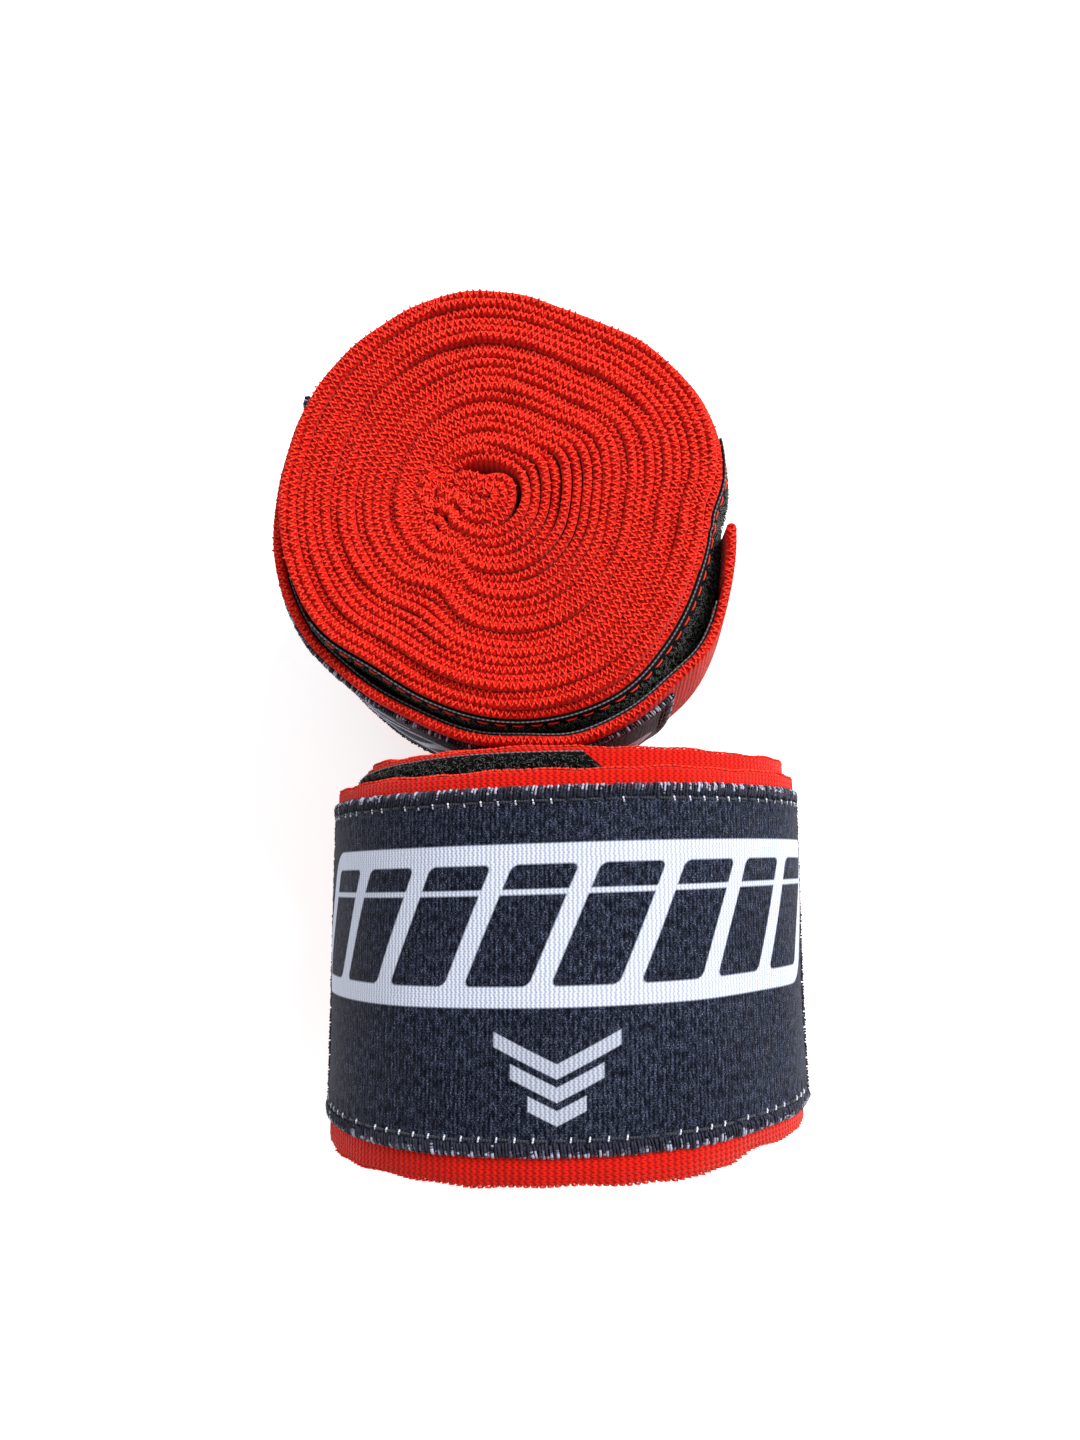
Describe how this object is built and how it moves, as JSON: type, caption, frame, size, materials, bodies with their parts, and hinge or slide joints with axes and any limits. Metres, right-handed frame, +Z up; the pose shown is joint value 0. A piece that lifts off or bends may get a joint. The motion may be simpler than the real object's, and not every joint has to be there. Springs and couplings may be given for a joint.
{
  "type": "hand wrap",
  "caption": "Pair of rolled red elastic boxing hand wraps, one on its end and one on its side, each closed by a hook-and-loop flap under a printed fabric label.",
  "frame": {"origin": "bottom centre of the pair's bounding box, on the surface that both wraps rest on", "axes": "+Z up, the axis of the standing wrap; +Y from the lying wrap towards the standing wrap, along the lying wrap's axis; +X to the right when the lying wrap is nearest"},
  "size_m": [0.0774, 0.121, 0.0668],
  "materials": {
    "strap": "red elastic knit webbing, matt, ribbed across, with looped knit edges",
    "strap_thread": "red polyester sewing thread, slight sheen",
    "label": "charcoal jersey knit with a plain white printed pattern, matt",
    "label_thread": "dark grey textured overlock thread, matt",
    "loop_tape": "black brushed nylon loop pile, fuzzy and matt",
    "hook_tape": "black nylon hook tape, slight gloss",
    "tape_selvage": "grey woven tape selvage with a row of stitches, matt"
  },
  "bodies": {
    "standing_roll": {"standing_hook_tape": "hook_tape", "standing_hook_tape_lower_stitching": "tape_selvage", "standing_hook_tape_upper_stitching": "tape_selvage", "standing_label": "label", "standing_label_end_seam": "label_thread", "standing_label_lower_overlock": "label_thread", "standing_label_start_seam": "label_thread", "standing_label_upper_overlock": "label_thread", "standing_loop_tape": "loop_tape", "standing_loop_tape_lower_stitching": "tape_selvage", "standing_loop_tape_upper_stitching": "tape_selvage", "standing_outer_turn": "strap", "standing_strap_turns": "strap", "standing_thumb_loop": "strap", "standing_thumb_loop_stitching": "strap_thread"},
    "standing_tab": {"standing_flap_hook_tape": "hook_tape", "standing_flap_hook_tape_lower_stitching": "tape_selvage", "standing_flap_hook_tape_upper_stitching": "tape_selvage", "standing_free_end": "strap", "standing_hem_stitching": "strap_thread"},
    "lying_roll": {"lying_label": "label", "lying_label_end_seam": "label_thread", "lying_label_lower_overlock": "label_thread", "lying_label_upper_overlock": "label_thread", "lying_loop_tape": "loop_tape", "lying_loop_tape_lower_stitching": "tape_selvage", "lying_loop_tape_upper_stitching": "tape_selvage", "lying_outer_turn": "strap", "lying_strap_turns": "strap", "lying_thumb_loop": "strap", "lying_thumb_loop_stitching": "strap_thread"},
    "lying_flap": {"lying_flap_label": "label", "lying_flap_label_lower_overlock": "label_thread", "lying_flap_label_upper_overlock": "label_thread", "lying_free_end": "strap", "lying_hem_stitching": "strap_thread", "lying_hook_tape": "hook_tape", "lying_hook_tape_lower_stitching": "tape_selvage", "lying_hook_tape_upper_stitching": "tape_selvage", "lying_label_start_seam": "label_thread"}
  },
  "joints": [
    {"name": "wraps_apart", "type": "slide", "parent": "standing_roll", "child": "lying_roll", "axis": [0, -1, 0], "range_m": [0, 0.12]},
    {"name": "lying_closure_peel", "type": "hinge", "parent": "lying_roll", "child": "lying_flap", "pos_m": [0.02386, -0.03547, 0.06138], "axis": [0, 1, 0], "range_deg": [0, 120]},
    {"name": "standing_end_lift", "type": "hinge", "parent": "standing_roll", "child": "standing_tab", "pos_m": [0.02046, 0.00377, 0.025], "axis": [0, 0, -1], "range_deg": [0, 75]}
  ]
}
